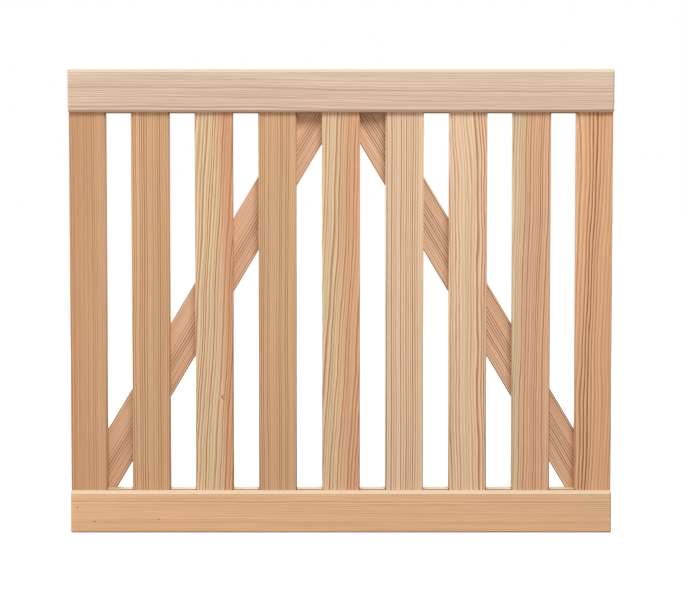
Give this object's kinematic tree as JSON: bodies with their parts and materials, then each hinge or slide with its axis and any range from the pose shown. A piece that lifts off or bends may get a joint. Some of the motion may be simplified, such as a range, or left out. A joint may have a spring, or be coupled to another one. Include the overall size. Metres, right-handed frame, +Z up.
{
  "type": "wooden garden gate leaf",
  "caption": "Low wooden gate leaf: upright pickets between a grooved top rail and bottom rail, with two sloping braces behind them.",
  "frame": {"origin": "middle of the bottom rail's end face on the hinge edge, where a post or a hinge plate meets the leaf", "axes": "+X from the hinge edge to the latch edge, +Y from the front to the back, where the braces are, +Z up"},
  "size_m": [1, 0.0501, 0.855],
  "materials": {
    "top_rail_wood": "planed softwood, pale pinkish beige, matt, no coating",
    "bottom_rail_wood": "planed softwood, honey tan, matt, no coating",
    "picket_wood": "planed softwood, honey to pink with straight and arched grain, matt, no coating",
    "brace_wood": "planed softwood, pinkish brown, matt, no coating",
    "filler_wood": "planed softwood, pale cream, matt, no coating"
  },
  "bodies": {
    "root": {"top_rail": "top_rail_wood", "bottom_rail": "bottom_rail_wood", "picket_1": "picket_wood", "picket_2": "picket_wood", "picket_3": "picket_wood", "picket_4": "picket_wood", "picket_5": "picket_wood", "picket_6": "picket_wood", "picket_7": "picket_wood", "picket_8": "picket_wood", "picket_9": "picket_wood", "brace_left": "brace_wood", "brace_right": "brace_wood", "filler_top_1": "filler_wood", "filler_top_2": "filler_wood", "filler_top_3": "filler_wood", "filler_top_4": "filler_wood", "filler_top_5": "filler_wood", "filler_top_6": "filler_wood", "filler_top_7": "filler_wood", "filler_top_8": "filler_wood", "filler_bottom_1": "filler_wood", "filler_bottom_2": "filler_wood", "filler_bottom_3": "filler_wood", "filler_bottom_4": "filler_wood", "filler_bottom_5": "filler_wood", "filler_bottom_6": "filler_wood", "filler_bottom_7": "filler_wood", "filler_bottom_8": "filler_wood"}
  },
  "joints": []
}
